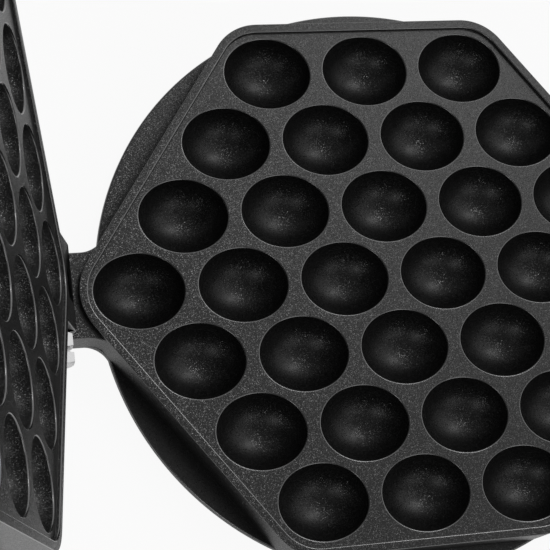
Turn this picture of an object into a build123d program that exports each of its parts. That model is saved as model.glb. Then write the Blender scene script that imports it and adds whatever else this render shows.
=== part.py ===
from build123d import *
import math
import os

# A hinged pan for bubble waffles: two cast halves, each with thirty oval cups in a hexagonal block.
# Millimetres. The origin is on the table, under the middle of the lower pan's cups.
# +X runs from the hinge to the handles, +Y away from the bolt's head, +Z up.
# The lower pan lies flat, and the upper pan stands open on its stop.

# The field of cups
cups_in_row = (3, 4, 5, 6, 5, 4, 3)
cup_pitch = 34.0
row_pitch = 23.9
cup_length = 29.8
cup_width = 24.9
cup_depth = 12.5
cup_sides = 14
cup_bands = (0, 38, 70)

# The hexagonal block with its stepped rim
field_margin = 2.0
step_width = 0.6
rim_width = 2.1
rim_height = 1.2
rim_bevel = 0.5
rim_gap = 0.06
block_height = 11.7
block_corner = 17.0

# The round plate, and the thicker flat base under it that stands on the stove
plate_radius = 96.8
plate_thickness = 2.5
base_radius = 92.0
base_height = 3.2

# The hinge lugs, which reach out from the block's corner
axis_gap = 10.06
axis_rise = 8.34
lug_width = 28.0
lug_drop = 1.0
lug_tail = 6.9
lug_fillet = 9.0
knuckle_radius = 6.8
tongue_near = -4.5
tongue_far = 5.9
near_play = 0.35
far_play = 2.3
knuckle_gap = 0.6
open_angle = 107.3
stop_gap = 0.3

# The hinge bolt, an M6 by 35, and its lock nut
bolt_radius = 3.0
bolt_length = 35.0
bolt_fit = 0.05
clearance_hole = 0.3
thread_fit = 0.03
hex_width = 10.0
head_height = 4.0
washer_face = 0.4
nut_height = 5.0
nut_gap = 0.3
head_gap = 1.1
hex_chamfer = 0.45

# The handles
boss_width = 22.0
boss_fillet = 12.0
boss_margin = 1.0
spigot_length = 7.0
spigot_wall = 2.2
guard_length = 22.0
guard_wall = 1.0
guard_gap = 0.1
grip_length = 138.0
grip_width = 22.0
grip_swell = 27.0
grip_height = 16.0
handle_bevel = 3.5
hang_hole_width = 8.0
hang_hole_length = 16.0
hang_hole_margin = 9.0
screw_radius = 2.5
screw_hole_gap = 0.4
screw_depth = 14.0
screw_head_radius = 4.2
screw_head_height = 4.0
screw_well_radius = 5.2
screw_socket = 4.0

# The side latch that holds the pans shut while they are turned over
latch_screw_radius = 2.5
latch_shoulder_radius = 3.2
latch_head_radius = 5.0
latch_head_height = 2.2
latch_thickness = 2.0
latch_eye_radius = 6.0
latch_shank = 7.0
latch_end_radius = 6.4
latch_tab_width = 8.0
latch_tab_reach = 7.0
latch_fit = 0.08
latch_side_gap = 0.3
latch_clear = 0.5
wave_washer_height = 0.8
latch_screw_depth = 7.5
stud_notch_gap = 0.5
stud_head_radius = 4.4
stud_head_height = 1.8

# Heights that follow from the sizes above
plate_top = base_height + plate_thickness
land = plate_top + block_height
rim_top = land + rim_height
lug_top = land - lug_drop
parting_height = rim_top + rim_gap / 2
axis_height = land + axis_rise
handle_height = (base_height + lug_top) / 2
stud_height = 2 * parting_height - handle_height

# The block's six sides lie a margin outside the cups
row_slope = math.atan2(row_pitch, cup_pitch / 2)
block_margin = field_margin + step_width + rim_width
end_cup = (max(cups_in_row) - 1) / 2 * cup_pitch
last_row = (len(cups_in_row) - 1) / 2 * row_pitch
cup_reach = math.hypot(cup_length / 2 * math.sin(row_slope), cup_width / 2 * math.cos(row_slope))
side_distance = end_cup * math.sin(row_slope) + cup_reach + block_margin
top_distance = last_row + cup_width / 2 + block_margin
corner_reach = (side_distance - block_corner) / math.sin(row_slope) + block_corner

# Reaches along X: the hinge at one end, and at the other the latch, clear of the boss's fillets
axis_x = -(corner_reach + axis_gap)
tail_x = axis_x - lug_tail
fork_near = tongue_near - near_play
fork_far = tongue_far + far_play
half_lug = lug_width / 2
hinge_axis = Axis((axis_x, 0, axis_height), (0, 1, 0))
parting = Plane.XY.offset(parting_height)
boss_height = lug_top - base_height
fillet_middle = boss_width / 2 + boss_fillet
plate_fillet_end = math.sqrt((plate_radius + boss_fillet) ** 2 - fillet_middle**2)
block_fillet_end = side_distance + boss_fillet - fillet_middle * math.cos(row_slope)
block_fillet_end /= math.sin(row_slope)
latch_reach = stud_height - handle_height
latch_place = max(plate_fillet_end, block_fillet_end) + latch_reach + latch_end_radius + latch_clear
boss_end = latch_place + latch_eye_radius + boss_margin + spigot_length
guard_start = boss_end - spigot_length
grip_start = guard_start + guard_length
grip_end = grip_start + grip_length
guard_width = boss_width - 2 * spigot_wall + 2 * guard_wall + 2 * guard_gap
guard_height = boss_height - 2 * spigot_wall + 2 * guard_wall + 2 * guard_gap


def cup_places():
    """The middle of each cup, row by row."""
    middle_row = (len(cups_in_row) - 1) / 2
    for row, count in enumerate(cups_in_row):
        y = (row - middle_row) * row_pitch
        for i in range(count):
            yield (i - (count - 1) / 2) * cup_pitch, y


def oval(height, half_length, half_width, sides):
    """The corners of a many-sided oval at one height."""
    turns = [2 * math.pi * (i + 0.5) / sides for i in range(sides)]
    return [(half_length * math.cos(t), half_width * math.sin(t), height) for t in turns]


def flat_sided(rings):
    """A solid with flat faces between rings of corners, each ring a scaled copy of the last."""
    faces = [Face(Wire.make_polygon(rings[0])), Face(Wire.make_polygon(rings[-1]))]
    for ring, next_ring in zip(rings, rings[1:]):
        for i in range(len(ring)):
            corners = [ring[i - 1], ring[i], next_ring[i], next_ring[i - 1]]
            faces.append(Face(Wire.make_polygon(corners)))
    return Solid(Shell(faces))


def cup_form():
    """The egg-shaped hollow of one cup, a half spheroid in flat bands."""
    rings = []
    depths = [math.sin(math.radians(a)) for a in cup_bands]
    for angle, share in zip(cup_bands, depths):
        width = math.cos(math.radians(angle))
        z = land - cup_depth * share / depths[-1]
        rings.append(oval(z, cup_length / 2 * width, cup_width / 2 * width, cup_sides))
    return flat_sided(rings)


def block_outline():
    """The hexagon round the cups, with round corners."""
    corner = side_distance / math.sin(row_slope)
    shoulder = (side_distance - top_distance * math.cos(row_slope)) / math.sin(row_slope)
    points = [(corner, 0), (shoulder, top_distance), (-shoulder, top_distance)]
    points += [(-x, -y) for x, y in points]
    outline = make_face(Polyline(*points, close=True))
    return fillet(outline.vertices(), block_corner)


def with_strip(outline, half_width, end, radius):
    """An outline joined to a straight strip out to X = end, with round inner corners."""
    near = math.copysign(block_corner, end)
    strip = Pos((end + near) / 2, 0) * Rectangle(abs(end - near), 2 * half_width)
    joined = outline + strip
    corners = [
        v
        for v in joined.vertices()
        if abs(abs(v.Y) - half_width) < 1e-4 and v.X * end > 0 and abs(v.X) < abs(end) - 1e-3
    ]
    return fillet(corners, radius)


def prism(outline, low, high):
    """An outline raised between two heights."""
    return extrude(Plane.XY.offset(low) * outline, amount=high - low)


def rod(radius, start, end, x, z):
    """A round bar along Y."""
    return Pos(x, start, z) * Rot(-90, 0, 0) * extrude(Circle(radius), amount=end - start)


def bar(radius, start, end, z):
    """A round bar along X."""
    return Pos(start, 0, z) * Rot(0, 90, 0) * extrude(Circle(radius), amount=end - start)


def block_form():
    """The block with its raised, bevelled rim and the sunk land inside it."""
    outline = block_outline()
    block = prism(outline, plate_top, rim_top)
    block -= prism(offset(outline, -rim_width - step_width), land, rim_top)
    top = block.faces().sort_by(Axis.Z)[-1]
    block = chamfer(top.inner_wires()[0].edges(), step_width)
    return chamfer(block.faces().sort_by(Axis.Z)[-1].outer_wire().edges(), rim_bevel)


def pan_blank():
    """What both castings share: plate, ring, block, cups, hinge lug and handle boss."""
    hexagon = block_outline()
    round_plate = Circle(plate_radius)
    boss_half = boss_width / 2
    plate = with_strip(round_plate, half_lug, tail_x, lug_fillet)
    plate += with_strip(round_plate, boss_half, guard_start, boss_fillet)
    lugs = with_strip(hexagon, half_lug, tail_x, lug_fillet)
    lugs += with_strip(hexagon, boss_half, guard_start, boss_fillet)
    blank = prism(plate, base_height, plate_top)
    blank += prism(lugs, plate_top, lug_top)
    blank += block_form()
    blank += prism(Circle(base_radius), 0, base_height)
    blank += spigot()
    cup = cup_form()
    return blank - [Pos(x, y) * cup for x, y in cup_places()]


def handle_ring(x, width, height, depth):
    """The corners of the handle's section at one place, or of a section a depth inside it."""
    corner = handle_bevel - depth * (2 - math.sqrt(2))
    half = width / 2 - depth
    rise = height / 2 - depth
    points = [(half, rise - corner), (half - corner, rise)]
    points += [(-y, z) for y, z in reversed(points)]
    points += [(-y, -z) for y, z in points]
    return [(x, y, handle_height + z) for y, z in points]


def spigot():
    """The end of the boss that the flame guard slips over."""
    section = handle_ring(guard_start, guard_width, guard_height, guard_wall + guard_gap)
    return extrude(Face(Wire.make_polygon(section)), amount=spigot_length, dir=(1, 0, 0))


def lower_pan():
    """The casting that lies on the stove, with the tongue of the hinge."""
    pan = pan_blank()
    width = tongue_far - tongue_near
    middle = (tongue_far + tongue_near) / 2
    stem = Pos(axis_x, middle, (lug_top + axis_height) / 2)
    pan += stem * Box(2 * knuckle_radius, width, axis_height - lug_top)
    pan += rod(knuckle_radius, tongue_near, tongue_far, axis_x, axis_height)
    pan -= rod(bolt_radius + bolt_fit, tongue_near, tongue_far, axis_x, axis_height)
    pan -= handle_tap()
    pan -= rod(
        latch_screw_radius + thread_fit,
        -boss_width / 2,
        -boss_width / 2 + latch_screw_depth,
        latch_place,
        handle_height,
    )
    return pan


def handle_tap():
    """The tapped hole for the long handle screw."""
    return bar(
        screw_radius + thread_fit, boss_end - screw_depth, boss_end, handle_height
    )


def upper_pan():
    """The casting that swings. Its fork's legs lie flush with the knuckles. Made shut, then opened."""
    pan = mirror(pan_blank(), about=parting)
    pan += rod(knuckle_radius, -half_lug, half_lug, axis_x, axis_height)
    legs = with_strip(block_outline(), half_lug, axis_x, lug_fillet) - block_outline()
    flush_top = 2 * parting_height - (axis_height - knuckle_radius)
    pan += mirror(prism(legs, lug_top, flush_top), about=parting)
    slot_end = axis_x + knuckle_radius + knuckle_gap
    slot_start = tail_x - knuckle_gap
    slot = Pos((slot_start + slot_end) / 2, (fork_near + fork_far) / 2, axis_height)
    tall = 4 * knuckle_radius
    pan -= slot * Box(slot_end - slot_start, fork_far - fork_near, tall)
    pan -= rod(bolt_radius + clearance_hole, -half_lug, fork_near, axis_x, axis_height)
    pan -= rod(bolt_radius + thread_fit, fork_far, half_lug, axis_x, axis_height)
    pan -= mirror(handle_tap(), about=parting)
    stud_hole = -boss_width / 2 + latch_screw_depth
    pan -= rod(
        latch_screw_radius + thread_fit, -boss_width / 2, stud_hole, latch_place, stud_height
    )
    pan = opened(pan)
    stop = Pos(axis_x, 0, lug_top + stop_gap)
    below = Box(4 * lug_tail, 2 * lug_width, lug_top, align=(Align.CENTER, Align.CENTER, Align.MAX))
    return pan - stop * below


def opened(shape):
    """A piece of the upper pan, turned about the hinge from shut to open."""
    return shape.rotate(hinge_axis, -open_angle)


def hex_bar(start, height):
    """A hexagon on the hinge axis, with bevelled ends."""
    across_corners = hex_width / math.cos(math.radians(30))
    plane = Plane(origin=(axis_x, start, axis_height), x_dir=(1, 0, 0), z_dir=(0, 1, 0))
    body = extrude(plane * RegularPolygon(across_corners / 2, 6), amount=height)
    ends = body.edges().group_by(Axis.Y)
    return chamfer(ends[0] + ends[-1], hex_chamfer)


def hinge_bolt():
    """The bolt: its shank turns in the tongue and screws into the far half of the fork."""
    shank_start = -half_lug - nut_gap - nut_height - head_gap
    head = hex_bar(shank_start - head_height, head_height - washer_face)
    face = rod(
        hex_width / 2 - hex_chamfer, shank_start - washer_face, shank_start, axis_x, axis_height
    )
    shank = rod(bolt_radius, shank_start, shank_start + bolt_length, axis_x, axis_height)
    return head + face + shank


def hinge_lock_nut():
    """The nut that locks the bolt against the near half of the fork."""
    start = -half_lug - nut_gap - nut_height
    nut = hex_bar(start, nut_height)
    return nut - rod(bolt_radius + thread_fit, start, start + nut_height, axis_x, axis_height)


def guard_form(depth):
    """The flaring form of the guard, or of the space inside its wall."""
    start = handle_ring(guard_start, guard_width, guard_height, depth)
    end = handle_ring(grip_start - depth, grip_width, grip_height, depth)
    return flat_sided([start, end])


def flame_guard():
    """The sheet steel sleeve between the hot boss and the grip."""
    hole = bar(screw_radius + screw_hole_gap, guard_start, grip_start, handle_height)
    return guard_form(0) - guard_form(guard_wall) - hole


def grip():
    """The moulded grip, wider towards its round end, with a hole to hang it by."""
    half = grip_width / 2
    swell = grip_swell / 2
    widest = grip_start + 0.62 * grip_length
    tip = grip_end - swell
    side = [
        Line((grip_start, -half), (grip_start, half)),
        ThreePointArc((grip_start, half), ((grip_start + widest) / 2, half + 0.8), (widest, swell)),
        Line((widest, swell), (tip, swell)),
        ThreePointArc((tip, swell), (grip_end, 0), (tip, -swell)),
        Line((tip, -swell), (widest, -swell)),
        ThreePointArc((widest, -swell), ((grip_start + widest) / 2, -half - 0.8), (grip_start, -half)),
    ]
    low = handle_height - grip_height / 2
    body = prism(make_face(Curve() + side), low, low + grip_height)
    edges = body.faces().filter_by(Axis.Z).edges().filter_by(lambda e: e.center().X > grip_start)
    body = chamfer(edges, handle_bevel)
    hole_middle = grip_end - hang_hole_margin - hang_hole_length / 2
    slot = Pos(hole_middle, 0) * SlotOverall(hang_hole_length, hang_hole_width)
    body -= prism(slot, 0, 2 * land)
    seat = grip_seat()
    body -= bar(screw_radius + screw_hole_gap, grip_start, seat, handle_height)
    body -= bar(screw_well_radius, seat, hole_middle, handle_height)
    return body


def grip_seat():
    """Where the screw's head bears inside the grip."""
    return grip_end - hang_hole_margin - hang_hole_length - 12


def handle_screw():
    """The long socket screw that clamps grip and guard to the boss."""
    start = boss_end - screw_depth + 1
    under_head = grip_seat()
    shank = bar(screw_radius, start, under_head, handle_height)
    head = bar(screw_head_radius, under_head, under_head + screw_head_height, handle_height)
    socket = Plane.YZ.offset(under_head + screw_head_height) * Pos(0, handle_height)
    key = extrude(socket * RegularPolygon(screw_socket / 2 / math.cos(math.pi / 6), 6), amount=-2.2)
    return shank + head - key


def latch_planes():
    """Where the latch's layers lie, from the boss outwards along -Y."""
    face = -boss_width / 2
    inner = face - wave_washer_height - latch_side_gap
    outer = inner - latch_thickness
    return face, inner, outer


def latch_hook():
    """The flat hook, lying along the boss towards the pan, its notch upwards."""
    face, inner, outer = latch_planes()
    eye = Circle(latch_eye_radius)
    shank = Pos(-latch_reach / 2, 0) * Rectangle(latch_reach, latch_shank)
    end = Pos(-latch_reach, 0) * Circle(latch_end_radius)
    plate = eye + shank + end
    notch_radius = latch_screw_radius + stud_notch_gap
    notch = Pos(-latch_reach, 0) * Circle(notch_radius)
    mouth = Pos(-latch_reach, latch_end_radius / 2) * Rectangle(2 * notch_radius, latch_end_radius)
    plate = plate - notch - mouth
    plate -= Circle(latch_shoulder_radius + latch_fit)
    stand = Plane(
        origin=(latch_place, inner, handle_height), x_dir=(1, 0, 0), z_dir=(0, -1, 0)
    )
    hook = extrude(stand * plate, amount=latch_thickness)
    tab_x = latch_place - latch_reach - latch_end_radius
    tab = Pos(tab_x, inner, handle_height) * Box(
        latch_thickness,
        latch_thickness + latch_tab_reach,
        latch_tab_width,
        align=(Align.MIN, Align.MAX, Align.CENTER),
    )
    tab = chamfer(tab.edges().filter_by(Axis.X).group_by(Axis.Y)[0], 2.0)
    return hook + tab


def latch_screw():
    """The shoulder screw that the hook swings on."""
    face, inner, outer = latch_planes()
    under_head = outer - latch_side_gap
    thread = rod(latch_screw_radius, face, face + latch_screw_depth - 1, latch_place, handle_height)
    shoulder = rod(latch_shoulder_radius, under_head, face, latch_place, handle_height)
    head = rod(
        latch_head_radius, under_head - latch_head_height, under_head, latch_place, handle_height
    )
    drive = Pos(latch_place, under_head - latch_head_height, handle_height)
    return thread + shoulder + head - drive * Box(2 * latch_head_radius, 1.6, 1.0)


def wave_washer():
    """The springy washer behind the hook, which holds it where it is put."""
    face, inner, outer = latch_planes()
    ring = rod(latch_eye_radius - 0.6, face - wave_washer_height, face, latch_place, handle_height)
    return ring - rod(
        latch_shoulder_radius + 0.2, face - wave_washer_height, face, latch_place, handle_height
    )


def catch_stud():
    """The headed stud on the upper boss that the hook grips. Made shut, then opened."""
    face, inner, outer = latch_planes()
    under_head = outer - latch_side_gap
    shank_end = face + latch_screw_depth - 1
    shank = rod(latch_screw_radius, under_head, shank_end, latch_place, stud_height)
    head = rod(
        stud_head_radius, under_head - stud_head_height, under_head, latch_place, stud_height
    )
    return opened(shank + head)


def upper_twin(shape):
    """A handle piece of the lower pan, made for the upper one."""
    return opened(mirror(shape, about=parting))


guard_piece = flame_guard()
grip_piece = grip()
screw_piece = handle_screw()
pieces = {
    "lower_pan": lower_pan(),
    "upper_pan": upper_pan(),
    "hinge_bolt": hinge_bolt(),
    "hinge_lock_nut": hinge_lock_nut(),
    "lower_flame_guard": guard_piece,
    "upper_flame_guard": upper_twin(guard_piece),
    "lower_grip": grip_piece,
    "upper_grip": upper_twin(grip_piece),
    "lower_handle_screw": screw_piece,
    "upper_handle_screw": upper_twin(screw_piece),
    "latch_hook": latch_hook(),
    "latch_screw": latch_screw(),
    "latch_wave_washer": wave_washer(),
    "catch_stud": catch_stud(),
}

os.makedirs("parts", exist_ok=True)
for name, shape in pieces.items():
    shape.label = name
    export_step(shape, f"parts/{name}.step")
    print(name, len(shape.solids()), "solid", round(shape.volume), "mm3")
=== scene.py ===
# %% [markdown]
# # A hinged pan for bubble waffles
# Two cast halves, each with thirty egg-shaped cups, swing on one bolt and end in two long handles.
# The measured model comes first, as a fixed frame. Each piece below is then made again with softer
# edges and a real finish, in exactly the same place, so that nothing has to be fitted by eye.

# %% Load the frame
import math

import bmesh
import bpy
from mathutils import Matrix, Vector, geometry


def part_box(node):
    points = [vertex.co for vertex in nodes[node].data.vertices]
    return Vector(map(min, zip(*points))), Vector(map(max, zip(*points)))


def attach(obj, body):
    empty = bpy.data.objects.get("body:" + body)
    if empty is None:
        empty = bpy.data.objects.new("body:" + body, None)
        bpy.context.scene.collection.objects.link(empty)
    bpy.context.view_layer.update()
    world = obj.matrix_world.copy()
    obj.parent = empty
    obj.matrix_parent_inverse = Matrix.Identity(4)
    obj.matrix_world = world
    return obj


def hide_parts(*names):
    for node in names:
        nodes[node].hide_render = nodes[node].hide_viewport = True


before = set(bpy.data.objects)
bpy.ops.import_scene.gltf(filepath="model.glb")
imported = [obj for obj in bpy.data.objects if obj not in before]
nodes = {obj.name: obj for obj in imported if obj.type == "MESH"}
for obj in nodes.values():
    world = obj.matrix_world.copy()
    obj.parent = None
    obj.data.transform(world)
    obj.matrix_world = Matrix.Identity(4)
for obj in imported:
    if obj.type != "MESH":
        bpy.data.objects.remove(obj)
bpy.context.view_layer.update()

mm = 0.001
tiny = 1e-6
print("pieces in the frame:", ", ".join(sorted(nodes)))

# %% [markdown]
# ## The view
# The camera stands left of the cups and high up, and looks down over them. It was worked out from
# the cups' outlines: as all cups are alike and level, the way that each looks squeezed and turned
# says where the lens is and how it is tilted. The lens is long, so far cups look almost as large as
# near ones.

# %% Camera
camera = bpy.data.objects.new("camera", bpy.data.cameras.new("camera"))
bpy.context.scene.collection.objects.link(camera)
camera.data.lens = 119.6
camera.data.sensor_width = 36
camera.location = (-0.19483, -0.14279, 0.56554)
camera.rotation_euler = [math.radians(a) for a in (16.1956, -13.7892, -7.3772)]
bpy.context.scene.camera = camera
print("camera at", [round(x, 3) for x in camera.location])

# %% [markdown]
# ## Sizes of the casting
# These are the sizes of the real pan in millimetres. The block's outline follows from the field of
# cups: each side lies a margin outside the ovals of the outer row.

# %% Sizes
cups_in_row = (3, 4, 5, 6, 5, 4, 3)
cup_pitch = 34.0
row_pitch = 23.9
cup_length = 29.8
cup_width = 24.9
cup_depth = 12.5
field_margin = 2.0
step_width = 0.6
rim_width = 2.1
rim_height = 1.2
rim_gap = 0.06
block_height = 11.7
block_corner = 17.0
base_top = 3.2
plate_top = 5.7
plate_radius = 96.8
base_radius = 92.0
axis_gap = 10.06
axis_rise = 8.34
lug_drop = 1.0

land = plate_top + block_height
rim_top = land + rim_height
parting = rim_top + rim_gap / 2
lug_top = land - lug_drop
axis_z = land + axis_rise

middle_row = (len(cups_in_row) - 1) / 2
end_cup = (max(cups_in_row) - 1) / 2
cup_places = []
for row, count in enumerate(cups_in_row):
    for i in range(count):
        cup_places.append(((i - (count - 1) / 2) * cup_pitch, (row - middle_row) * row_pitch))
row_slope = math.atan2(row_pitch, cup_pitch / 2)
block_margin = field_margin + step_width + rim_width
cup_reach = math.hypot(cup_length / 2 * math.sin(row_slope), cup_width / 2 * math.cos(row_slope))
side_reach = end_cup * cup_pitch * math.sin(row_slope) + cup_reach + block_margin
top_reach = middle_row * row_pitch + cup_width / 2 + block_margin
corner_reach = (side_reach - block_corner) / math.sin(row_slope) + block_corner
axis_x = -(corner_reach + axis_gap)
print(len(cup_places), "cups; block", round(2 * side_reach, 1), "mm across its slanted sides")

# %% [markdown]
# ## Outlines that can be offset
# A cast block has no sharp edges: each edge is a small curve. If an outline is kept as a chain of
# arcs with its outward directions, then any smaller or larger copy of it has the same number of
# points, and two copies can be joined by a strip of faces. That is all that a rounded edge needs.

# %% Outline helpers
quarter = math.pi / 2
least_arc_steps = 4
edge_steps = 4


def arc_chain(arcs, spacing=1.0):
    """Points and outward directions along arcs (x, y, radius, start, end) joined by straight runs."""
    chain = []
    for x, y, radius, start, end in arcs:
        steps = max(least_arc_steps, round(abs(end - start) * radius / spacing))
        sign = 1 if end > start else -1
        for i in range(steps + 1):
            a = start + (end - start) * i / steps
            chain.append((x + radius * math.cos(a), y + radius * math.sin(a),
                          sign * math.cos(a), sign * math.sin(a)))
    return chain


def ring(chain, grow, z):
    """One loop of points: the outline grown outwards by a distance, at a height."""
    return [(x + nx * grow, y + ny * grow, z) for x, y, nx, ny in chain]


def stack(mesh, loops, caps=(True, True), around=False):
    """Adds strips of faces between loops of equal length, and caps, or a strip back to the start."""
    rows = [[mesh.verts.new(Vector(p) * mm) for p in loop] for loop in loops]
    pairs = list(zip(rows, rows[1:])) + ([(rows[-1], rows[0])] if around else [])
    for low, high in pairs:
        for i in range(len(low)):
            mesh.faces.new((low[i - 1], low[i], high[i], high[i - 1]))
    if caps[0] and not around:
        mesh.faces.new(list(reversed(rows[0])))
    if caps[1] and not around:
        mesh.faces.new(rows[-1])
    return rows


def rounding(outline, z, radius, up):
    """Loops that turn from an outline's upright wall into its flat top, or back."""
    loops = []
    for i in range(edge_steps + 1):
        a = quarter * i / edge_steps
        loops.append(ring(outline, -radius * (1 - math.cos(a)), z - up * radius * (1 - math.sin(a))))
    return loops if up > 0 else loops[::-1]


def slab(mesh, outline, low, high, top_edge, low_edge):
    """A closed slab between two heights with rounded edges."""
    stack(mesh, rounding(outline, low, low_edge, -1) + rounding(outline, high, top_edge, 1))


def hexagon():
    """The block's outline: six sides, each corner an arc."""
    lean = quarter - row_slope
    sides = [(-lean, side_reach), (lean, side_reach), (quarter, top_reach),
             (math.pi - lean, side_reach), (math.pi + lean, side_reach), (3 * quarter, top_reach)]
    arcs = []
    for (a, reach_a), (b, reach_b) in zip(sides, sides[1:] + [(4 * quarter - lean, side_reach)]):
        inner_a = reach_a - block_corner
        inner_b = reach_b - block_corner
        twist = math.sin(b - a)
        x = (inner_a * math.sin(b) - inner_b * math.sin(a)) / twist
        y = (inner_b * math.cos(a) - inner_a * math.cos(b)) / twist
        arcs.append((x, y, block_corner, a, b))
    return arc_chain(arcs)


block_line = hexagon()
block_end = max(p[0] for p in block_line)
print("block outline:", len(block_line), "points, reaching", round(block_end, 2), "mm")

# %% [markdown]
# ## One cup
# A cup is half of an egg-shaped spheroid: long along the row, as deep as it is half wide. Its mouth
# isn't a sharp edge but a small round lip, and that lip is what draws the thin bright line round
# each cup. It is made as rings of points from the lip down to the lowest point.

# %% Cup mesh
lip = 0.5
lip_outside = 0.2
lip_steps = 7
bowl_steps = 16
bowl_end = math.radians(89.0)
cup_points = 72


def oval_ring(half_length, half_width, z):
    """One loop of points on an oval, at a height."""
    turns = [2 * math.pi * i / cup_points for i in range(cup_points)]
    return [(half_length * math.cos(t), half_width * math.sin(t), z) for t in turns]


def cup_rings():
    """Loops over the lip and then down the bowl, which narrows to a small cap."""
    loops = []
    for i in range(lip_steps + 1):
        a = quarter * i / lip_steps
        grow = lip_outside - lip * math.sin(a)
        loops.append(oval_ring(cup_length / 2 + grow, cup_width / 2 + grow, -lip * (1 - math.cos(a))))
    inset = lip - lip_outside
    for i in range(1, bowl_steps + 1):
        a = bowl_end * i / bowl_steps
        wide = math.cos(a)
        depth = lip + (cup_depth - lip) * math.sin(a)
        loops.append(oval_ring((cup_length / 2 - inset) * wide, (cup_width / 2 - inset) * wide, -depth))
    return loops


cup_mesh = bmesh.new()
stack(cup_mesh, cup_rings(), caps=(False, True))
cup_data = bpy.data.meshes.new("one_cup")
cup_mesh.to_mesh(cup_data)
cup_mesh.free()
one_cup = bpy.data.objects.new("one_cup", cup_data)
print("one cup has", len(cup_data.polygons), "faces")

# %% [markdown]
# ## The land between the cups
# The flat land is a sheet with thirty holes. A Delaunay triangulation fills the space between the
# holes' edges, and the triangles that fall inside a cup are left out. This keeps the land flat and
# gives each hole exactly the points of a cup's lip, so that the two can be welded.

# %% Land
mouth_length = cup_length / 2 + lip_outside
mouth_width = cup_width / 2 + lip_outside
same_point = 1e-5


def land_sheet(mesh, edge_loop):
    """Triangles between the rim's foot and the cups' lips."""
    flat = [Vector((v.co.x, v.co.y)) / mm for v in edge_loop]
    edges = [(i, (i + 1) % len(flat)) for i in range(len(flat))]
    for x, y in cup_places:
        start = len(flat)
        mouth = oval_ring(mouth_length, mouth_width, 0)
        flat += [Vector((x + px, y + py)) for px, py, _ in mouth]
        edges += [(start + i, start + (i + 1) % cup_points) for i in range(cup_points)]
    points, _, faces, _, _, _ = geometry.delaunay_2d_cdt(flat, edges, [], 0, same_point)
    verts = [mesh.verts.new(Vector((p[0], p[1], land)) * mm) for p in points]
    for face in faces:
        middle_x = sum(points[i][0] for i in face) / 3
        middle_y = sum(points[i][1] for i in face) / 3
        inside = any(((middle_x - x) / mouth_length) ** 2 + ((middle_y - y) / mouth_width) ** 2 < 1
                     for x, y in cup_places)
        if not inside:
            mesh.faces.new([verts[i] for i in face])


print("each mouth is", round(2 * mouth_length, 1), "by", round(2 * mouth_width, 1), "mm")

# %% [markdown]
# ## The rim and the block's wall
# The rim is a low step round the land, and the wall below it meets the plate in a small hollow
# curve. Both are one strip made from the block's outline: from a hidden foot inside the plate, up
# the wall, over the flat rim and down a steep step to the land. The step's upper edge is a small
# curve that catches the light and draws the line that runs round the field of cups.

# %% Block with its rim and land, cups still missing
rim_outer_edge = 0.25
rim_flat = rim_width + step_width / 2
rim_round = 0.5
rim_foot = 0.15
rim_slope = math.radians(86)
slope_run = (rim_height - (rim_round + rim_foot) * (1 - math.cos(rim_slope))) / math.tan(rim_slope)
land_grow = -(rim_flat + (rim_round + rim_foot) * math.sin(rim_slope) + slope_run)
rim_round_steps = 8
rim_foot_steps = 4
wall_fillet = 1.0
wall_fillet_steps = 5
buried_inset = 3.0
buried_depth = 1.6
skirt_depth = 0.05
plate_edge_room = 0.8
overhang_run = 1.8


def foot_ring(share, z):
    """The outline grown by the wall's fillet, which fades out where the block overhangs the plate."""
    loop = []
    for x, y, nx, ny in block_line:
        reach = math.hypot(x, y)
        grow = share * max(0.0, min(wall_fillet, plate_radius - plate_edge_room - reach))
        hang = max(0.0, min(1.0, reach - plate_radius + overhang_run))
        foot_z = z if z > plate_top else z + hang * (plate_top - z)
        loop.append((x + nx * grow, y + ny * grow, foot_z))
    return loop


def rim_and_wall():
    """Loops of the block from its hidden foot, up the wall and over the rim to the land."""
    loops = [ring(block_line, -buried_inset, plate_top - buried_depth)]
    loops.append(foot_ring(1, plate_top - buried_depth))
    loops.append(foot_ring(1, plate_top - skirt_depth))
    for i in range(1, wall_fillet_steps + 1):
        a = quarter * i / wall_fillet_steps
        loops.append(foot_ring(1 - math.sin(a), plate_top + wall_fillet * (1 - math.cos(a))))
    loops += rounding(block_line, rim_top, rim_outer_edge, 1)
    for i in range(rim_round_steps + 1):
        a = rim_slope * i / rim_round_steps
        loops.append(ring(block_line, -rim_flat - rim_round * math.sin(a),
                          rim_top - rim_round * (1 - math.cos(a))))
    for i in range(rim_foot_steps + 1):
        a = rim_slope * (rim_foot_steps - i) / rim_foot_steps
        loops.append(ring(block_line, land_grow + rim_foot * math.sin(a),
                          land + rim_foot * (1 - math.cos(a))))
    return loops


block_mesh = bmesh.new()
rows = stack(block_mesh, rim_and_wall(), caps=(True, False))
land_sheet(block_mesh, rows[-1])
block_data = bpy.data.meshes.new("block_open")
block_mesh.to_mesh(block_data)
block_mesh.free()
block_open = bpy.data.objects.new("block_open", block_data)
print("block without cups:", len(block_data.polygons), "faces")

# %% [markdown]
# ## Node trees
# Geometry Nodes and materials are both trees of nodes. One helper adds a node of any kind with its
# settings and its links. Two more make an empty geometry tree with named inputs, and run a tree on
# an object to get a plain mesh back, because only real faces can be exported.

# %% Node helpers
def add(tree, kind, values=None, **settings):
    """Adds one node with its settings; values are links or constants for its sockets."""
    node = tree.nodes.new(kind)
    for key, value in settings.items():
        setattr(node, key, value)
    for key, value in (values or {}).items():
        if isinstance(value, bpy.types.NodeSocket):
            tree.links.new(value, node.inputs[key])
        else:
            node.inputs[key].default_value = value
    return node


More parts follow.
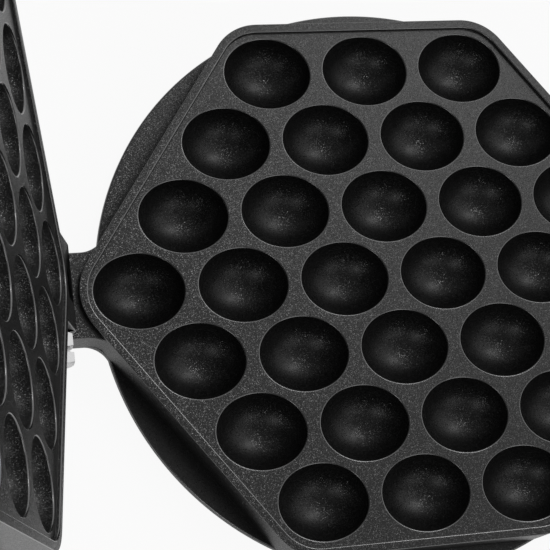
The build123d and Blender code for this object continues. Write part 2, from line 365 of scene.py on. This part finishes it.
def new_geometry_tree(name, **sockets):
    """An empty geometry tree that takes and gives geometry, with one more input for each size."""
    tree = bpy.data.node_groups.new(name, "GeometryNodeTree")
    tree.interface.new_socket("Geometry", in_out="INPUT", socket_type="NodeSocketGeometry")
    for label, kind in sockets.items():
        tree.interface.new_socket(label, in_out="INPUT", socket_type=kind)
    tree.interface.new_socket("Geometry", in_out="OUTPUT", socket_type="NodeSocketGeometry")
    return tree


def run_tree(obj, tree, **values):
    """Runs a tree on an object and returns the result as a plain mesh."""
    bpy.context.scene.collection.objects.link(obj)
    modifier = obj.modifiers.new(tree.name, "NODES")
    modifier.node_group = tree
    named = {item.name: item.identifier for item in tree.interface.items_tree
             if item.in_out == "INPUT"}
    for label, value in values.items():
        modifier[named[label]] = value
    view = bpy.context.evaluated_depsgraph_get()
    result = bpy.data.meshes.new_from_object(obj.evaluated_get(view), depsgraph=view)
    obj.modifiers.clear()
    bpy.context.scene.collection.objects.unlink(obj)
    print("tree", tree.name, "made", len(result.polygons), "faces")
    return result


# %% [markdown]
# ## Thirty cups by Geometry Nodes
# The cups repeat, so a node tree places them: one point stands for each cup, Instance on Points
# puts the cup's mesh there, Realize Instances turns the copies into real faces, and Merge by
# Distance welds each lip to the hole in the land. Both halves of the pan use the result.

# %% The tree that places the cups
field_tree = new_geometry_tree(
    "cup field", Cup="NodeSocketObject", Places="NodeSocketObject",
    Weld="NodeSocketFloat", Finish="NodeSocketMaterial")
given = add(field_tree, "NodeGroupInput")
cup_info = add(field_tree, "GeometryNodeObjectInfo", {"Object": given.outputs["Cup"]})
place_info = add(field_tree, "GeometryNodeObjectInfo", {"Object": given.outputs["Places"]})
copies = add(field_tree, "GeometryNodeInstanceOnPoints", {
    "Points": place_info.outputs["Geometry"], "Instance": cup_info.outputs["Geometry"]})
real = add(field_tree, "GeometryNodeRealizeInstances", {0: copies.outputs[0]})
joined = add(field_tree, "GeometryNodeJoinGeometry", {0: given.outputs["Geometry"]})
field_tree.links.new(real.outputs[0], joined.inputs[0])
welded = add(field_tree, "GeometryNodeMergeByDistance", {
    0: joined.outputs[0], "Distance": given.outputs["Weld"]})
finished = add(field_tree, "GeometryNodeSetMaterial", {
    0: welded.outputs[0], "Material": given.outputs["Finish"]})
add(field_tree, "NodeGroupOutput", {0: finished.outputs[0]})
print("the cup field's tree has", len(field_tree.nodes), "nodes")

# %% [markdown]
# ## Materials
# Each material is named for the real stuff and the way its surface was made. Colours are written as
# the screen shows them and turned to linear light by one function. Each pattern is sized by how many
# of its grains lie along a real millimetre.

# %% Colour and material helpers
def colour(hex_value):
    """An sRGB hex colour as linear RGBA."""
    parts = [int(hex_value[i:i + 2], 16) / 255 for i in (1, 3, 5)]
    return [p / 12.92 if p <= 0.04045 else ((p + 0.055) / 1.055) ** 2.4 for p in parts] + [1.0]


def new_material(name, **values):
    """A material with one Principled shader; returns it with its tree and shader node."""
    material = bpy.data.materials.new(name)
    material.use_nodes = True
    tree = material.node_tree
    principled = tree.nodes["Principled BSDF"]
    for key, value in values.items():
        principled.inputs[key].default_value = value
    return material, tree, principled


print("middle grey in linear light is", round(colour("#808080")[0], 3))

# %% [markdown]
# ## The speckled coating
# Sprayed non-stick resin with fine mica on bead-blasted cast aluminium. The resin is nearly black
# and half glossy, so a flat land shows the white room as dark grey, and a cup shows mostly its own
# dark wall. Mica flakes lie at all angles and glitter where a lamp is mirrored: each small cell of
# the pattern leans its normal its own way. Real flakes are finer than the render can show, so they
# are drawn about 0.2 mm wide, as coarse as they need to be. On a sharp edge the spray runs thin and
# handling has polished it, so a rim or lip that faces a lamp draws a thin bright line. The value
# named edge, which each mesh carries, tells the material where such an edge is.

# %% Speckled non-stick coating
flakes_per_mm = 5.0
peel_per_mm = 3.6
peel_depth = 0.1
most_lean = 0.5
worn_roughness = 0.2
flake_centre = (0.5, 0.5, 0.5)
coating, tree, shader = new_material("sprayed_nonstick_coating")
place = add(tree, "ShaderNodeTexCoord").outputs["Object"]
flakes = add(tree, "ShaderNodeTexVoronoi", {"Vector": place, "Scale": flakes_per_mm / mm})
flake = add(tree, "ShaderNodeSeparateColor", {0: flakes.outputs["Color"]})
edge = add(tree, "ShaderNodeAttribute", attribute_name="edge").outputs["Fac"]
unworn = add(tree, "ShaderNodeMapRange", {
    "Value": edge, "From Min": 0.2, "From Max": 0.8, "To Min": 1.0, "To Max": 0.0})
body = unworn.outputs["Result"]
some = add(tree, "ShaderNodeMapRange", {"Value": flake.outputs[0], "From Min": 0.5})
mica = add(tree, "ShaderNodeMath", {0: some.outputs["Result"], 1: body},
           operation="MULTIPLY").outputs[0]
bright = add(tree, "ShaderNodeMix", {
    0: flake.outputs[1], 6: colour("#303030"), 7: colour("#6c6c6c")}, data_type="RGBA")
sprayed = add(tree, "ShaderNodeMix", {
    0: mica, 6: colour("#0b0b0b"), 7: bright.outputs[2]}, data_type="RGBA")
worn_or_not = add(tree, "ShaderNodeMix", {
    0: body, 6: colour("#747474"), 7: sprayed.outputs[2]}, data_type="RGBA")
tree.links.new(worn_or_not.outputs[2], shader.inputs["Base Color"])
metal = add(tree, "ShaderNodeMath", {0: 1.0, 1: body}, operation="SUBTRACT")
either = add(tree, "ShaderNodeMath", {0: metal.outputs[0], 1: mica}, operation="MAXIMUM")
tree.links.new(either.outputs[0], shader.inputs["Metallic"])
gloss = add(tree, "ShaderNodeMapRange", {"Value": mica, "To Min": 0.36, "To Max": 0.26})
worn = add(tree, "ShaderNodeMix", {0: body, 2: worn_roughness, 3: gloss.outputs["Result"]})
tree.links.new(worn.outputs[0], shader.inputs["Roughness"])
grain = add(tree, "ShaderNodeTexNoise", {
    "Vector": place, "Scale": peel_per_mm / mm, "Detail": 1.0})
peel = add(tree, "ShaderNodeBump", {
    "Height": grain.outputs[0], "Strength": 0.2, "Distance": peel_depth * mm})
lean = add(tree, "ShaderNodeVectorMath", {0: flakes.outputs["Color"], 1: flake_centre},
           operation="SUBTRACT")
amount = add(tree, "ShaderNodeMath", {0: mica, 1: most_lean}, operation="MULTIPLY")
leaning = add(tree, "ShaderNodeVectorMath", {0: lean.outputs[0], "Scale": amount.outputs[0]},
              operation="SCALE")
turned_flake = add(tree, "ShaderNodeVectorMath", {0: peel.outputs[0], 1: leaning.outputs[0]},
                   operation="ADD")
unit = add(tree, "ShaderNodeVectorMath", {0: turned_flake.outputs[0]}, operation="NORMALIZE")
tree.links.new(unit.outputs[0], shader.inputs["Normal"])
print("material", coating.name, "with", len(tree.nodes), "nodes")

# %% [markdown]
# ## Zinc-plated steel
# The bolt, the nut and the screws are cold-headed steel with bright zinc: pale, hardly tinted, with
# soft reflections and a faint mottling of a millimetre or two, from the bath.

# %% Zinc-plated steel
mottles_per_mm = 0.7
zinc, tree, shader = new_material("zinc_plated_steel", Metallic=1.0)
place = add(tree, "ShaderNodeTexCoord").outputs["Object"]
mottle = add(tree, "ShaderNodeTexNoise", {
    "Vector": place, "Scale": mottles_per_mm / mm, "Detail": 4.0})
plating = add(tree, "ShaderNodeMix", {
    0: mottle.outputs[0], 6: colour("#d7d7d8"), 7: colour("#ededed")}, data_type="RGBA")
tree.links.new(plating.outputs[2], shader.inputs["Base Color"])
gloss = add(tree, "ShaderNodeMapRange", {
    "Value": mottle.outputs[0], "From Min": 0.3, "From Max": 0.7, "To Min": 0.24, "To Max": 0.38})
tree.links.new(gloss.outputs["Result"], shader.inputs["Roughness"])
print("material", zinc.name)

# %% [markdown]
# ## Pressed stainless steel
# The flame guards, the hook and the wave washer are sheet that was brushed along the handle before
# it was pressed. Its fine lines, some 0.2 mm apart and several millimetres long, stretch a
# highlight across them. One noise pattern does this when it is scaled far less along the handle.

# %% Pressed stainless steel
lines_per_mm_across = 5.0
lines_per_mm_along = 0.12
stainless, tree, shader = new_material("brushed_stainless_sheet", Metallic=1.0)
place = add(tree, "ShaderNodeTexCoord").outputs["Object"]
across = lines_per_mm_across / mm
along = add(tree, "ShaderNodeMapping", {
    "Vector": place, "Scale": (lines_per_mm_along / mm, across, across)})
lines = add(tree, "ShaderNodeTexNoise", {"Vector": along.outputs[0], "Scale": 1.0, "Detail": 2.0})
sheet = add(tree, "ShaderNodeMix", {
    0: lines.outputs[0], 6: colour("#aaaaaa"), 7: colour("#d1d1d1")}, data_type="RGBA")
tree.links.new(sheet.outputs[2], shader.inputs["Base Color"])
gloss = add(tree, "ShaderNodeMapRange", {
    "Value": lines.outputs[0], "From Min": 0.3, "From Max": 0.7, "To Min": 0.26, "To Max": 0.42})
tree.links.new(gloss.outputs["Result"], shader.inputs["Roughness"])
print("material", stainless.name)

# %% [markdown]
# ## Moulded phenolic
# The grips are compression-moulded phenolic, which stands the heat near a flame: deep black and
# satin, with a faint flow grain about a millimetre wide that breaks up long reflections.

# %% Moulded phenolic
flows_per_mm = 0.9
flow_depth = 0.1
phenolic, tree, shader = new_material("moulded_phenolic")
place = add(tree, "ShaderNodeTexCoord").outputs["Object"]
flow = add(tree, "ShaderNodeTexNoise", {
    "Vector": place, "Scale": flows_per_mm / mm, "Detail": 5.0})
resin = add(tree, "ShaderNodeMix", {
    0: flow.outputs[0], 6: colour("#161616"), 7: colour("#232323")}, data_type="RGBA")
tree.links.new(resin.outputs[2], shader.inputs["Base Color"])
gloss = add(tree, "ShaderNodeMapRange", {
    "Value": flow.outputs[0], "From Min": 0.3, "From Max": 0.7, "To Min": 0.32, "To Max": 0.46})
tree.links.new(gloss.outputs["Result"], shader.inputs["Roughness"])
skin = add(tree, "ShaderNodeBump", {
    "Height": flow.outputs[0], "Strength": 0.12, "Distance": flow_depth * mm})
tree.links.new(skin.outputs["Normal"], shader.inputs["Normal"])
print("material", phenolic.name)

# %% [markdown]
# ## The lugs' outlines
# At one end of each casting is a lug for the hinge, at the other a boss for the handle. Both meet
# the block and the plate in hollow curves, so each has an outline of its own for the height of the
# plate and for the height of the block. The upper half's lug is a fork, so its outline has a notch.

# %% Lug outlines
lug_half = 14.0
boss_half = 11.0
lug_fillet = 9.0
boss_fillet = 12.0
lug_corner = 0.5
lug_sink = 0.35
lug_root = 1.5
lug_spacing = 0.8


def lug_line(half, end, fillet, plate=None, notch=None):
    """A lug along -X: straight sides that flare into the block's corner, or into the round plate."""
    side = half + fillet
    if plate is None:
        flare = quarter - row_slope
        flare_x = (side_reach - lug_sink + fillet - side * math.sin(flare)) / math.cos(flare)
        middle, inner = block_corner - corner_reach, block_corner - lug_root
    else:
        flare_x = math.sqrt((plate - lug_sink + fillet) ** 2 - side ** 2)
        flare = math.atan2(side, flare_x)
        middle, inner = 0.0, plate - lug_root
    tip = lug_corner - end
    arcs = [(middle, 0, inner, math.pi + flare, math.pi - flare),
            (-flare_x, side, fillet, -flare, -quarter),
            (tip, half - lug_corner, lug_corner, quarter, math.pi)]
    if notch:
        near, far, bottom = notch
        floor_x = -bottom - lug_corner
        arcs += [(tip, far + lug_corner, lug_corner, math.pi, 3 * quarter),
                 (floor_x, far - lug_corner, lug_corner, quarter, 0),
                 (floor_x, near + lug_corner, lug_corner, 0, -quarter),
                 (tip, near - lug_corner, lug_corner, quarter, math.pi)]
    arcs += [(tip, lug_corner - half, lug_corner, math.pi, 3 * quarter),
             (-flare_x, -side, fillet, quarter, flare)]
    return arc_chain(arcs, lug_spacing)


def turned(chain):
    """The same outline on the +X side."""
    return [(-x, -y, -nx, -ny) for x, y, nx, ny in chain]


boss_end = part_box("lower_flame_guard")[0].x / mm
print("the handle boss ends at", round(boss_end, 1), "mm")

# %% [markdown]
# ## The knuckles
# A knuckle is the round eye that a hinge turns on. The lower half's stands on a straight stem, so
# the distance from the axis to its skin is worked out for each direction, and rings of such points
# are joined into a solid with rounded ends. The bolt's bore is two more rings, run back through it.

# %% Knuckles
knuckle_radius = 6.8
knuckle_edge = 0.4
leg_edge = 0.7
turn_points = 72


def hinge_ring(y, reach):
    """One loop of points round the hinge axis, each at its own distance from it."""
    loop = []
    for i, r in enumerate(reach):
        a = 2 * math.pi * i / len(reach)
        loop.append((axis_x + r * math.cos(a), y, axis_z + r * math.sin(a)))
    return loop


def knuckle(mesh, start, end, stem=None, hole=0.0, edges=(knuckle_edge, knuckle_edge)):
    """A knuckle round the hinge axis, perhaps with a straight stem downwards, and a bore."""
    reach = []
    for i in range(turn_points):
        a = 2 * math.pi * i / turn_points
        r = knuckle_radius
        if stem and math.sin(a) < 0:
            r = min(knuckle_radius / max(abs(math.cos(a)), tiny), -stem / math.sin(a))
        reach.append(r)
    levels = []
    for i in range(edge_steps + 1):
        a = quarter * i / edge_steps
        rise = 1 - math.sin(a)
        shrink = 1 - math.cos(a)
        levels.append((start + edges[0] * rise, edges[0] * shrink))
        levels.append((end - edges[1] * rise, edges[1] * shrink))
    loops = [hinge_ring(y, [r - shrink for r in reach]) for y, shrink in sorted(levels)]
    if hole:
        loops += [hinge_ring(y, [hole] * turn_points) for y in (end, start)]
    stack(mesh, loops, around=hole > 0)


print("the hinge axis is", round(axis_z - rim_top, 2), "mm above the rim")

# %% [markdown]
# ## The round plate
# The plate is thin and runs under the block. Only its outer part shows, so it is made as a ring,
# and its hidden inner edge keeps clear of the two cups that reach furthest along the middle row.

# %% Plate
plate_edge = 0.7
plate_inner = 86.5
plate_inner_rise = 0.1
end_cup_room = 6.5
end_cup_angle = 0.14
end_cup_blend = 0.07
circle_points = 240


def round_line(radius):
    """A circle of points with their outward directions."""
    turns = [2 * math.pi * i / circle_points for i in range(circle_points)]
    return [(radius * math.cos(t), radius * math.sin(t), math.cos(t), math.sin(t)) for t in turns]


def plate_ring(mesh):
    """The round plate with rounded outer edges and an upright inner one."""
    outer = round_line(plate_radius)
    inner = []
    for _, _, nx, ny in outer:
        past_cup = (end_cup_angle - math.asin(min(1.0, abs(ny)))) / end_cup_blend
        inner.append((nx, ny, plate_inner + end_cup_room * max(0.0, min(1.0, past_cup))))
    loops = rounding(outer, base_top, plate_edge, -1) + rounding(outer, plate_top, plate_edge, 1)
    for z in (plate_top, base_top + plate_inner_rise):
        loops.append([(nx * r, ny * r, z) for nx, ny, r in inner])
    stack(mesh, loops, around=True)


print("the plate is", 2 * plate_radius, "mm across")

# %% [markdown]
# ## One half of the pan
# Base, plate, lug and boss are slabs with rounded edges that grow into each other, as they do in
# the mould. Where a lug meets the plate, a lower web spreads into it; the web lies a few hundredths
# of a millimetre inside the lug, because two faces in one plane would flicker.

# %% Slabs of one casting
lug_tail = 6.9
fork_near = -4.85
fork_far = 8.2
fork_floor = 7.4
leg_sink = 1.5
web_setback = 0.1
fork_web_setback = 5.0
web_inset = 0.04
web_drop = 0.02
web_edge = 0.3
low_edge = 0.5
lug_edge = 0.5
boss_edge = 0.6
base_edge = 0.1
base_rise = 0.3


def web(mesh, outline):
    """The low slab that joins a lug or boss to the round plate."""
    slab(mesh, outline, base_top + web_inset, plate_top - web_drop, web_edge, low_edge)


def casting(upper):
    """All slabs of one half, lying flat, as the lower half lies."""
    mesh = bmesh.new()
    plate_ring(mesh)
    slab(mesh, round_line(base_radius), 0, base_top + base_rise, base_edge, low_edge)
    end = -axis_x + lug_tail
    web_end = end - (fork_web_setback if upper else web_setback)
    web(mesh, lug_line(lug_half - web_inset, web_end, lug_fillet, plate_radius))
    notch = (fork_near, fork_far, -axis_x - fork_floor) if upper else None
    slab(mesh, lug_line(lug_half, end, lug_fillet, None, notch), base_top, lug_top, lug_edge, low_edge)
    if upper:
        legs = lug_line(lug_half, leg_edge - axis_x, lug_fillet, None, notch)
        leg_top = 2 * parting - axis_z + knuckle_radius
        slab(mesh, legs, lug_top - leg_sink, leg_top, leg_edge, 0.0)
    boss_web = lug_line(boss_half - web_inset, boss_end - web_setback, boss_fillet, plate_radius)
    web(mesh, turned(boss_web))
    boss = turned(lug_line(boss_half, boss_end, boss_fillet))
    slab(mesh, boss, base_top, lug_top, boss_edge, boss_edge)
    return mesh


print("the fork's slot is", round(fork_far - fork_near, 2), "mm wide")

# %% [markdown]
# ## Finish every piece alike
# A mesh made face by face may have faces that point inwards, so their directions are worked out first.
# Then the mesh learns where its small rounded edges are, for the coating. Smooth shading between
# sharp edges, weighted by the size of the faces, keeps large flats flat beside their rounded edges.

# %% Finishing helpers
polished_turn = 1500.0
least_width = 0.01


def mark_edges(mesh):
    """Stores at each point how tightly the skin turns outwards: 1 at a radius under about 0.7 mm."""
    layer = mesh.verts.layers.float.new("edge")
    for edge in mesh.edges:
        if len(edge.link_faces) == 2:
            area = sum(face.calc_area() for face in edge.link_faces)
            width = area / 2 / max(edge.calc_length(), tiny)
            turn = edge.calc_face_angle_signed(0.0) / max(width, least_width * mm)
            for vert in edge.verts:
                vert[layer] = max(vert[layer], min(1.0, turn / polished_turn))


def finish_piece(mesh, name, material, body, replaced, sharp=32.0):
    """Turns faces outwards, shades smooth between sharp edges, and hangs the piece on its body."""
    bmesh.ops.recalc_face_normals(mesh, faces=mesh.faces)
    mark_edges(mesh)
    data = bpy.data.meshes.new(name)
    mesh.to_mesh(data)
    mesh.free()
    for face in data.polygons:
        face.use_smooth = True
    data.set_sharp_from_angle(angle=math.radians(sharp))
    obj = bpy.data.objects.new(name, data)
    bpy.context.scene.collection.objects.link(obj)
    modifier = obj.modifiers.new("even", "WEIGHTED_NORMAL")
    modifier.weight = 100
    modifier.keep_sharp = True
    view = bpy.context.evaluated_depsgraph_get()
    final = bpy.data.meshes.new_from_object(obj.evaluated_get(view), depsgraph=view)
    obj.modifiers.clear()
    obj.data = final
    final.name = name
    final.materials.clear()
    final.materials.append(material)
    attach(obj, body)
    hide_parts(*replaced)
    print(name, len(final.polygons), "faces on", body)


print("an edge is polished below a radius of", round(1000 / polished_turn, 2), "mm")

# %% [markdown]
# ## Upper half: made shut, then opened
# The upper half is the lower one mirrored about the plane where the rims meet. It is made lying
# shut and then turned about the hinge bolt, so that both halves stay true twins. A mirror turns
# faces inside out, and the finishing helper puts that right.

# %% Both castings
open_angle = math.radians(107.3)
weld_distance = 0.01
tongue_near = -4.5
tongue_far = 5.9
tongue_bore = 3.06
stem_root = 1.0
mirror_up = Matrix.Translation((0, 0, 2 * parting * mm)) @ Matrix.Diagonal((1, 1, -1, 1))
pivot = Matrix.Translation((axis_x * mm, 0, axis_z * mm))
swing_open = pivot @ Matrix.Rotation(-open_angle, 4, "Y") @ pivot.inverted()

places_data = bpy.data.meshes.new("cup_places")
places_data.from_pydata([(x * mm, y * mm, land * mm) for x, y in cup_places], [], [])
places = bpy.data.objects.new("cup_places", places_data)
for helper in (one_cup, places):
    bpy.context.scene.collection.objects.link(helper)
block = run_tree(block_open, field_tree, Cup=one_cup, Places=places,
                 Weld=weld_distance * mm, Finish=coating)
for helper in (one_cup, places):
    bpy.context.scene.collection.objects.unlink(helper)

lower = casting(False)
lower.from_mesh(block)
knuckle(lower, tongue_near, tongue_far, stem=axis_z - lug_top + stem_root, hole=tongue_bore)
finish_piece(lower, "lower_casting", coating, "lower", ["lower_pan"])

upper = casting(True)
upper.from_mesh(block)
upper.transform(mirror_up)
knuckle(upper, -lug_half, fork_near, edges=(leg_edge, knuckle_edge))
knuckle(upper, fork_far, lug_half, edges=(knuckle_edge, leg_edge))
upper.transform(swing_open)
finish_piece(upper, "upper_casting", coating, "upper", ["upper_pan"])

# %% [markdown]
# ## The hinge bolt and its lock nut
# The hexagons are turned on a lathe before they are used, so each corner is cut by a cone and each
# flat ends in a curve. The same form comes from taking, at each height and direction, the smaller
# of two radii: that of the hexagon and that of the cone.

# %% Hexagons
hex_width = 10.0
corner_cut = 0.35
cone_slope = 1.73
cone_levels = (0, 0.12, 0.25, 0.4, 0.6, 0.9)
head_height = 4.0
washer_face = 0.4
washer_radius = 4.75
thread_root = 2.72
nut_bore = 3.03
rod_points = 48


def hexagon_head(mesh, start, end, low_cone, high_cone, hole=0.0):
    """A hexagon along the hinge axis, its corners cut by a cone at one end or at both."""
    loops = []
    for y in [start + v for v in cone_levels] + [end - v for v in reversed(cone_levels)]:
        cone = math.inf
        if low_cone:
            cone = min(cone, hex_width / 2 - corner_cut + (y - start) * cone_slope)
        if high_cone:
            cone = min(cone, hex_width / 2 - corner_cut + (end - y) * cone_slope)
        reach = []
        for i in range(turn_points):
            a = 2 * math.pi * i / turn_points
            flat = hex_width / 2 / math.cos((a + math.pi / 6) % (math.pi / 3) - math.pi / 6)
            reach.append(min(flat, cone))
        loops.append(hinge_ring(y, reach))
    if hole:
        loops += [hinge_ring(y, [hole] * turn_points) for y in (end, start)]
    stack(mesh, loops, around=hole > 0)


def round_rod(mesh, start, end, radius, start_edge=0.3, end_edge=0.5):
    """A round rod along the hinge axis with chamfered ends."""
    levels = [(start, radius - start_edge), (start + start_edge, radius),
              (end - end_edge, radius), (end, radius - end_edge)]
    stack(mesh, [hinge_ring(y, [r] * rod_points) for y, r in levels])


bolt_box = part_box("hinge_bolt")
nut_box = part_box("hinge_lock_nut")
head_start = bolt_box[0].y / mm
head_end = head_start + head_height
bolt = bmesh.new()
hexagon_head(bolt, head_start, head_end - washer_face, True, False)
round_rod(bolt, head_end - washer_face - 0.05, head_end, washer_radius)
round_rod(bolt, head_end - washer_face - 0.1, bolt_box[1].y / mm, thread_root)
nut = bmesh.new()
hexagon_head(nut, nut_box[0].y / mm, nut_box[1].y / mm, True, True, hole=nut_bore)
print("bolt from", round(head_start, 1), "to", round(bolt_box[1].y / mm, 1), "mm along the hinge")

# %% [markdown]
# ## The thread
# A thread is one ridge wound round the bolt at a millimetre a turn. Geometry Nodes make it: a
# spiral curve, swept with a three-sided profile.

# %% Thread by Geometry Nodes
thread_pitch = 1.0
thread_middle = 2.62
ridge_radius = 0.36
thread_tree = new_geometry_tree(
    "thread", Turns="NodeSocketFloat", Length="NodeSocketFloat", Radius="NodeSocketFloat",
    Ridge="NodeSocketFloat", Finish="NodeSocketMaterial")
given = add(thread_tree, "NodeGroupInput")
spiral = add(thread_tree, "GeometryNodeCurveSpiral", {
    "Resolution": 32, "Rotations": given.outputs["Turns"], "Start Radius": given.outputs["Radius"],
    "End Radius": given.outputs["Radius"], "Height": given.outputs["Length"]})
profile = add(thread_tree, "GeometryNodeCurvePrimitiveCircle", {
    "Resolution": 3, "Radius": given.outputs["Ridge"]})
swept = add(thread_tree, "GeometryNodeCurveToMesh", {
    "Curve": spiral.outputs[0], "Profile Curve": profile.outputs[0], "Fill Caps": True})
laid = add(thread_tree, "GeometryNodeTransform", {
    "Geometry": swept.outputs[0], "Rotation": (-quarter, 0, 0),
    "Translation": (axis_x * mm, head_end * mm, axis_z * mm)})
real = add(thread_tree, "GeometryNodeRealizeInstances", {0: laid.outputs[0]})
finished = add(thread_tree, "GeometryNodeSetMaterial", {
    0: real.outputs[0], "Material": given.outputs["Finish"]})
add(thread_tree, "NodeGroupOutput", {0: finished.outputs[0]})

seed = bpy.data.objects.new("thread_seed", bpy.data.meshes.new("thread_seed"))
thread_length = bolt_box[1].y / mm - head_end - thread_pitch
thread = run_tree(seed, thread_tree, Turns=thread_length / thread_pitch, Length=thread_length * mm,
                  Radius=thread_middle * mm, Ridge=ridge_radius * mm, Finish=zinc)
bolt.from_mesh(thread)
finish_piece(bolt, "hinge_bolt_zinc", zinc, "upper", ["hinge_bolt"], sharp=25.0)
finish_piece(nut, "hinge_lock_nut_zinc", zinc, "upper", ["hinge_lock_nut"], sharp=25.0)

# %% [markdown]
# ## Softer edges on the small pieces
# The guards, grips, screws and the latch already have their true shape in the frame, but each of
# their edges is a knife edge. A moulded, pressed or turned piece never has one, and it is the small
# curve there that catches the light. So each piece is copied, its flat facets are merged, and every
# edge that turns sharply is rounded by a bevel.

# %% Rounded copies of the frame's pieces
handle_z = (base_top + lug_top) / 2
sharp_turn = math.radians(30)
flat_turn = math.radians(0.6)
same_place = 0.001
bevel_steps = 4
screw_hole_half_width = 7
screw_hole_half_height = 6.5
shortest_long_edge = 15
grip_edge = 2.2
guard_edge = 2.0
screw_edge = 0.3
latch_edge = 0.35
washer_edge = 0.15
stud_edge = 0.4


def sharp_edge(edge):
    """An edge that turns sharply."""
    return edge.calc_face_angle(0.0) > sharp_turn


def outer_edge(edge):
    """A sharp edge of the grip's skin or of its hanging hole, not of the long hole for the screw."""
    outside = [abs(v.co.y) > screw_hole_half_width * mm
               or abs(v.co.z - handle_z * mm) > screw_hole_half_height * mm for v in edge.verts]
    return sharp_edge(edge) and all(outside)


def long_edge(edge):
    """A sharp edge that runs along a sleeve, not round its thin end."""
    return sharp_edge(edge) and edge.calc_length() > shortest_long_edge * mm


def soften(name, radius, material, body, chosen=sharp_edge, source=None):
    """A copy of one of the frame's pieces with rounded edges; an upper twin is made from the lower."""
    mesh = bmesh.new()
    mesh.from_mesh(nodes[source or name].data)
    bmesh.ops.remove_doubles(mesh, verts=mesh.verts, dist=same_place * mm)
    bmesh.ops.dissolve_limit(mesh, angle_limit=flat_turn, verts=mesh.verts, edges=mesh.edges)
    turning = [edge for edge in mesh.edges if chosen(edge)]
    bmesh.ops.bevel(mesh, geom=turning, offset=radius * mm, segments=bevel_steps, profile=0.5,
                    affect="EDGES", clamp_overlap=True)
    if source:
        mesh.transform(mirror_up)
        mesh.transform(swing_open)
    finish_piece(mesh, name + "_finished", material, body, [name], sharp=40.0)


soften("lower_grip", grip_edge, phenolic, "lower", outer_edge)
soften("upper_grip", grip_edge, phenolic, "upper", outer_edge, "lower_grip")
soften("lower_flame_guard", guard_edge, stainless, "lower", long_edge)
soften("upper_flame_guard", guard_edge, stainless, "upper", long_edge,
       "lower_flame_guard")
soften("lower_handle_screw", screw_edge, zinc, "lower")
soften("upper_handle_screw", screw_edge, zinc, "upper")
soften("latch_hook", latch_edge, stainless, "latch")
soften("latch_screw", latch_edge, zinc, "lower")
soften("latch_wave_washer", washer_edge, stainless, "lower")
soften("catch_stud", stud_edge, zinc, "upper")

# %% [markdown]
# ## The floor
# A product photograph on white needs a floor that looks white and still keeps a little shadow. Its
# paper is matt and pale. The camera sees it mostly as plain white, and a mirrored ray sees it half
# white, so that metal and coating reflect a bright floor. No lamp has to be stronger for that.

# %% Floor
floor_half = 4.0
floor_drop = 0.2
white_to_camera = 0.93
white_to_mirrors = 0.5
floor_mesh = bmesh.new()
bmesh.ops.create_grid(floor_mesh, x_segments=1, y_segments=1, size=floor_half)
bmesh.ops.translate(floor_mesh, verts=floor_mesh.verts, vec=(0, 0, -floor_drop * mm))
floor_data = bpy.data.meshes.new("floor")
floor_mesh.to_mesh(floor_data)
floor_mesh.free()
floor = bpy.data.objects.new("floor", floor_data)
bpy.context.scene.collection.objects.link(floor)
paper = bpy.data.materials.new("white_paper_sweep")
paper.use_nodes = True
tree = paper.node_tree
tree.nodes.clear()
matt = add(tree, "ShaderNodeBsdfDiffuse", {"Color": colour("#f4f4f4")})
glow = add(tree, "ShaderNodeEmission", {"Color": (1, 1, 1, 1), "Strength": 1.0})
ray = add(tree, "ShaderNodeLightPath")
seen = add(tree, "ShaderNodeMath", {0: ray.outputs["Is Camera Ray"], 1: white_to_camera},
           operation="MULTIPLY")
mirrored = add(tree, "ShaderNodeMath", {0: ray.outputs["Is Glossy Ray"], 1: white_to_mirrors},
               operation="MULTIPLY")
share = add(tree, "ShaderNodeMath", {0: seen.outputs[0], 1: mirrored.outputs[0]},
            operation="MAXIMUM")
both = add(tree, "ShaderNodeMixShader", {
    0: share.outputs[0], 1: matt.outputs[0], 2: glow.outputs[0]})
add(tree, "ShaderNodeOutputMaterial", {"Surface": both.outputs[0]})
floor.data.materials.append(paper)
print("floor", floor_drop, "mm below the pan")

# %% [markdown]
# ## The light
# In the photograph each cup is brightest on the wall at its lower left, which mirrors a light room
# on the far right. So the world is lightest in that direction, not far above the floor, and fades
# to a dim grey elsewhere. A small key lamp, high on the far right, draws the thin bright lines on
# the polished edges. A large soft lamp on the near right and a weak one on the near left fill in.

# %% Lamps and world
def soft_light(name, place, size, power):
    """A square lamp at a place in metres that points at the middle of the cups."""
    lamp = bpy.data.lights.new(name, "AREA")
    lamp.shape = "RECTANGLE"
    lamp.size = size
    lamp.size_y = size
    lamp.energy = power
    obj = bpy.data.objects.new(name, lamp)
    bpy.context.scene.collection.objects.link(obj)
    obj.location = place
    obj.rotation_euler = (-Vector(place)).to_track_quat("-Z", "Y").to_euler()
    print("lamp", name, "of", power, "W,", round(Vector(place).length, 2), "m away")


soft_light("key", place=(0.65, 0.72, 1.4), size=0.34, power=2.5)
soft_light("second", place=(0.55, -1.18, 0.72), size=0.8, power=2.2)
soft_light("third", place=(-0.71, -0.88, 0.83), size=0.4, power=1)
bright_side = (0.75, 0.45, 0.48)
world = bpy.data.worlds.new("studio")
bpy.context.scene.world = world
world.use_nodes = True
tree = world.node_tree
tree.nodes.clear()
place = add(tree, "ShaderNodeTexCoord").outputs["Generated"]
toward = add(tree, "ShaderNodeVectorMath", {0: place, 1: bright_side}, operation="DOT_PRODUCT")
room = add(tree, "ShaderNodeMapRange", {
    "Value": toward.outputs["Value"], "From Min": 0.45, "To Min": 0.16})
ray = add(tree, "ShaderNodeLightPath").outputs["Is Camera Ray"]
level = add(tree, "ShaderNodeMath", {0: room.outputs["Result"], 1: ray}, operation="MAXIMUM")
sky = add(tree, "ShaderNodeBackground", {"Color": (1, 1, 1, 1), "Strength": level.outputs[0]})
add(tree, "ShaderNodeOutputWorld", {"Surface": sky.outputs[0]})
bpy.context.scene.view_settings.view_transform = "Standard"
